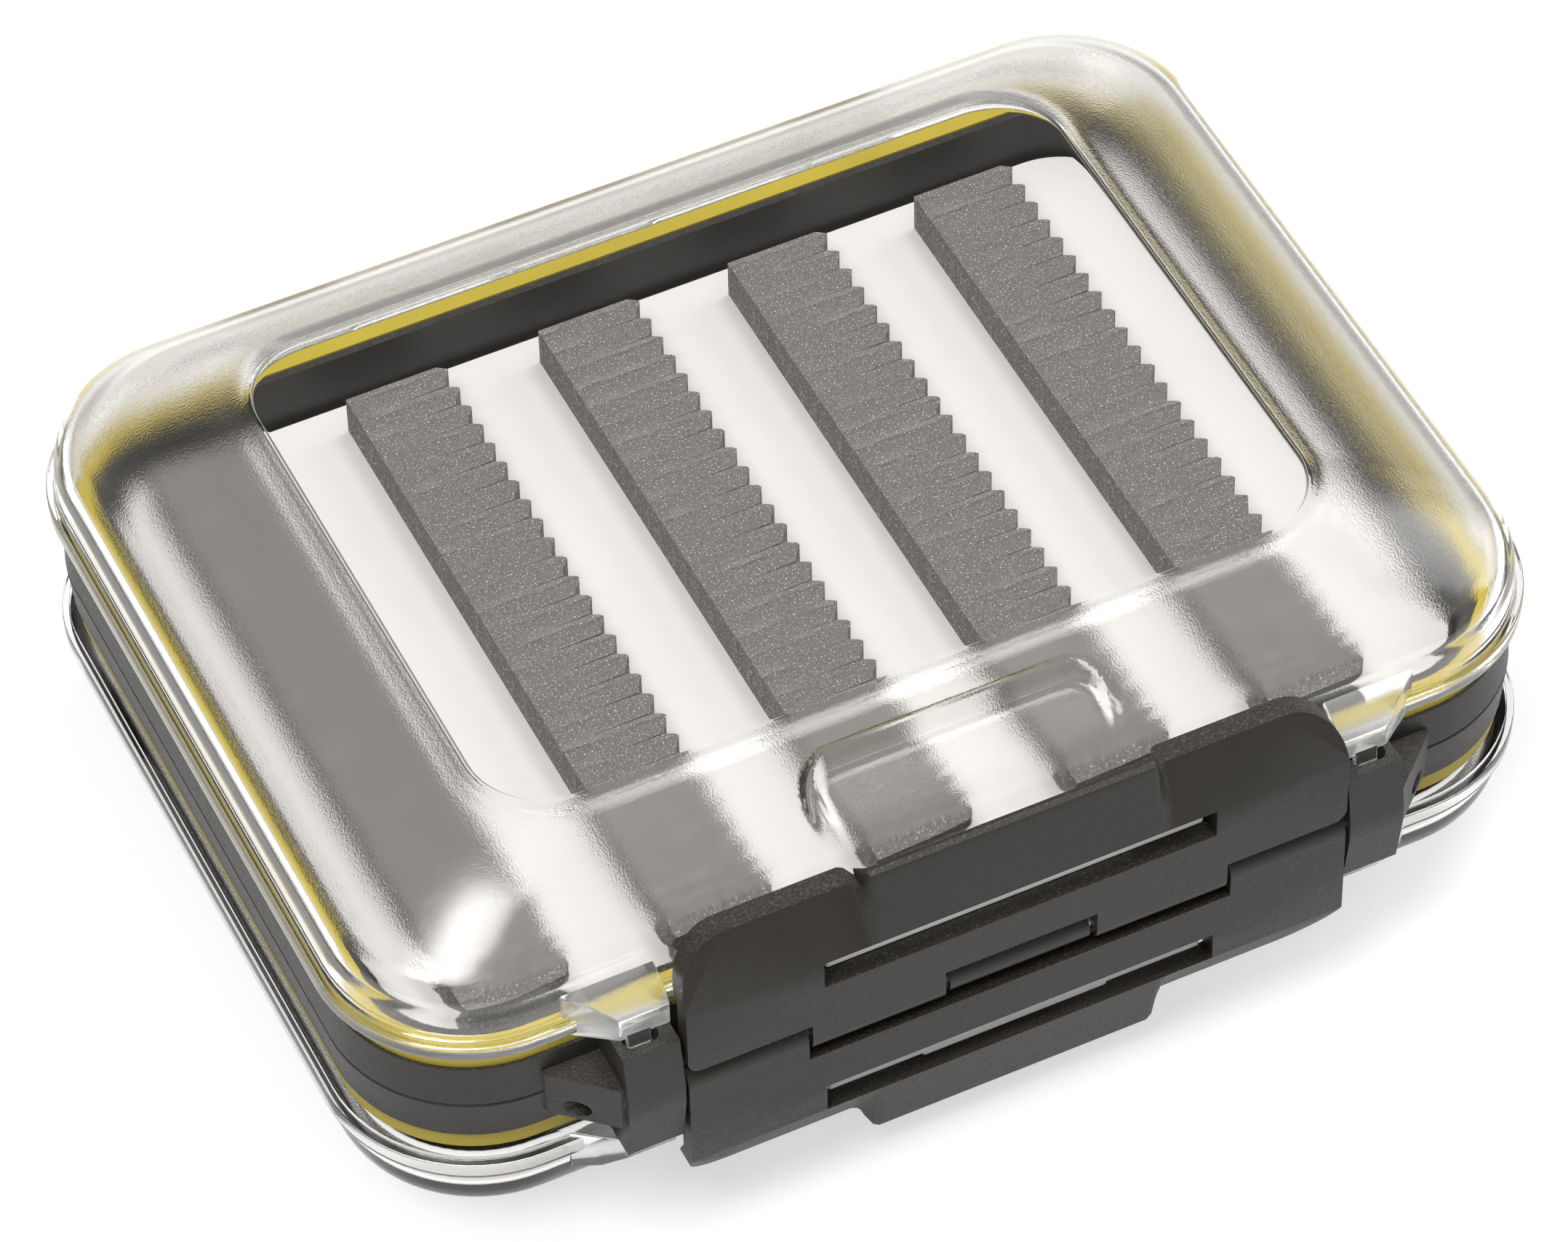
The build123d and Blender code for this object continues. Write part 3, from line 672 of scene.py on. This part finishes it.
def lids():
    """Both clear lids with their ears, catch ribs and hinge knuckles."""
    lid = lid_shell()
    ear = lid_ear()
    joined = (ear, mirrored(ear, "tool", ACROSS), lid_knuckle(KNUCKLE_X0, KNUCKLE_X1),
              lid_knuckle(-KNUCKLE_X1, -KNUCKLE_X0))
    for tool in joined:
        combine(lid, tool, "UNION")
    combine(lid, rod(HINGE_HOLE_R, -HOLE_X, HOLE_X, HINGE_Y, HINGE_Z), "DIFFERENCE")
    smooth(lid.data, LID_SHARP)
    under = mirrored(lid, "lower_lid_clear", UNDER)
    rib = catch_rib()
    under_rib = mirrored(rib, "lower_catch_rib", UNDER)
    for side, item, catch in (("upper", lid, rib), ("lower", under, under_rib)):
        for piece in (item, catch):
            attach(piece, f"{side}_lid")
        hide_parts(f"{side}_lid")


# -------------------------------------------------------------------------- foam
def foam_strip(name, box_low, box_high, index, turned):
    """Foam strip with a torn, toothed right edge and slits behind the teeth."""
    left, right = box_low.x / MM, box_high.x / MM
    low, high = box_low.z / MM - MID_Z, box_high.z / MM - MID_Z
    if turned:
        left, right, low, high = -right, -left, -high, -low
    dice = random.Random(FOAM_SEED + index)
    outline = [(left, FOAM_BACK), (left, FOAM_FRONT)]
    y = FOAM_FRONT
    for i in range(FOAM_TEETH):
        valley = right - TOOTH_DEPTH * dice.uniform(*VALLEYS)
        slit = right - dice.uniform(*SLIT_DEPTHS)
        gap = dice.choice(SLIT_GAPS)
        if i:
            outline += [(slit, y - gap / 4), (valley, y + gap / 2)]
        # a tooth rises from its valley over a shoulder to its tip, and falls off steeply
        rise = dice.uniform(*RISES)
        shoulder = dice.uniform(*SHOULDERS)
        tip = dice.uniform(*TIPS)
        outline.append((valley + TOOTH_DEPTH * 0.25, y + FOAM_PITCH * rise))
        outline.append((right - TOOTH_DEPTH * 0.25, y + FOAM_PITCH * shoulder))
        outline.append((right, y + FOAM_PITCH * tip))
        outline.append((right - TOOTH_DEPTH * 0.2, y + FOAM_PITCH * 0.82))
        y += FOAM_PITCH
        if i < FOAM_TEETH - 1:
            outline.append((right - TOOTH_DEPTH * 0.95, y - gap / 2))
    outline.append((right - TOOTH_DEPTH * 0.8, FOAM_BACK))
    item = prism(outline, "Z", low, high, name)
    if turned:
        item.data.transform(UNDER @ ACROSS)
    return item


def foams():
    """Foam strips of both sides in place of the plain solids."""
    for side in SIDES:
        for index in range(FOAM_COUNT):
            node = f"{side}_foam_{index + 1}"
            low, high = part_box(node)
            item = foam_strip(f"{node}_slit", low, high, index, side == "lower")
            paint(item, "foam")
            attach(item, "frame")
            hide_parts(node)


# ----------------------------------------------------------------- camera, stage
def camera():
    """Camera at the photograph's viewing angle."""
    azimuth, elevation, roll = (math.radians(v) for v in (AZIMUTH, ELEVATION, ROLL))
    back = Vector((math.sin(azimuth) * math.cos(elevation),
                   -math.cos(azimuth) * math.cos(elevation), math.sin(elevation)))
    level = Vector((math.cos(azimuth), math.sin(azimuth), 0))
    upright = back.cross(level)
    right = level * math.cos(roll) + upright * math.sin(roll)
    up = upright * math.cos(roll) - level * math.sin(roll)
    data = bpy.data.cameras.new("photo_camera")
    data.sensor_width = SENSOR
    data.lens = FOCAL_PX / WIDTH_PX * SENSOR
    data.clip_start = CLIP_NEAR
    data.clip_end = CLIP_FAR
    item = in_scene("photo_camera", data)
    item.matrix_world = Matrix((right, up, back)).transposed().to_4x4()
    offset = back * DISTANCE + right * SHIFT_RIGHT + up * SHIFT_UP
    item.location = (offset + Vector((0, 0, MID_Z))) * MM
    bpy.context.scene.camera = item


def ground():
    """Pale floor that the camera, reflections and clear pieces see as white."""
    bm = bmesh.new()
    bmesh.ops.create_grid(bm, x_segments=1, y_segments=1, size=FLOOR_SIZE)
    mesh = bpy.data.meshes.new("floor")
    bm.to_mesh(mesh)
    bm.free()
    floor = in_scene("floor", mesh)
    floor.location.z = -FLOOR_DROP
    material, tree, shader = new_material("floor")
    feed(tree, shader, "Base Color", (*FLOOR_COLOUR, 1))
    feed(tree, shader, "Roughness", FLOOR_ROUGH)
    path = add(tree, "ShaderNodeLightPath").outputs
    seen = path["Is Camera Ray"]
    for kind in ("Is Glossy Ray", "Is Transmission Ray"):
        seen = maths(tree, "MAXIMUM", seen, path[kind])
    feed(tree, shader, "Emission Strength", maths(tree, "MULTIPLY", seen, FLOOR_GLOW))
    feed(tree, shader, "Emission Color", WHITE)
    mesh.materials.append(material)


def room():
    """Dim room, bright overhead, with a dark card behind the object for the pane to mirror."""
    world = bpy.data.worlds.new("studio")
    bpy.context.scene.world = world
    world.use_nodes = True
    tree = world.node_tree
    background = tree.nodes["Background"]
    feed(tree, background, "Color", WHITE)
    seen = add(tree, "ShaderNodeLightPath").outputs["Is Camera Ray"]
    way = add(tree, "ShaderNodeTexCoord").outputs["Generated"]
    near = [add(tree, "ShaderNodeVectorMath", {0: way, 1: centre}, operation="DOT_PRODUCT")
            for centre in (CARD_WAY, TOP_WAY)]
    near_card, near_top = (node.outputs["Value"] for node in near)
    top = spread(tree, near_top, (0.8, 0.9), (ROOM_LIGHT, TOP_LIGHT))
    covered = spread(tree, near_card, (0.88, 0.95))
    light = add(tree, "ShaderNodeMix", {0: covered, 2: top, 3: CARD_LIGHT}).outputs[0]
    feed(tree, background, "Strength", maths(tree, "MAXIMUM", light, seen))


def lamps():
    """Square soft lamps that look at the object's middle."""
    for name, place_at, size, power in LAMPS:
        data = bpy.data.lights.new(name, "AREA")
        data.shape = "SQUARE"
        data.size = size
        data.energy = power
        lamp = in_scene(name, data)
        lamp.location = place_at
        lamp.rotation_mode = "QUATERNION"
        lamp.rotation_quaternion = (LAMP_TARGET - lamp.location).to_track_quat("-Z", "Y")


dress()
for side in SIDES:
    soften(f"{side}_latch", LATCH_ROUND)
    soften(f"{side}_frame", FRAME_ROUND)
lids()
foams()
camera()
ground()
room()
lamps()
bpy.context.scene.view_settings.view_transform = "Standard"
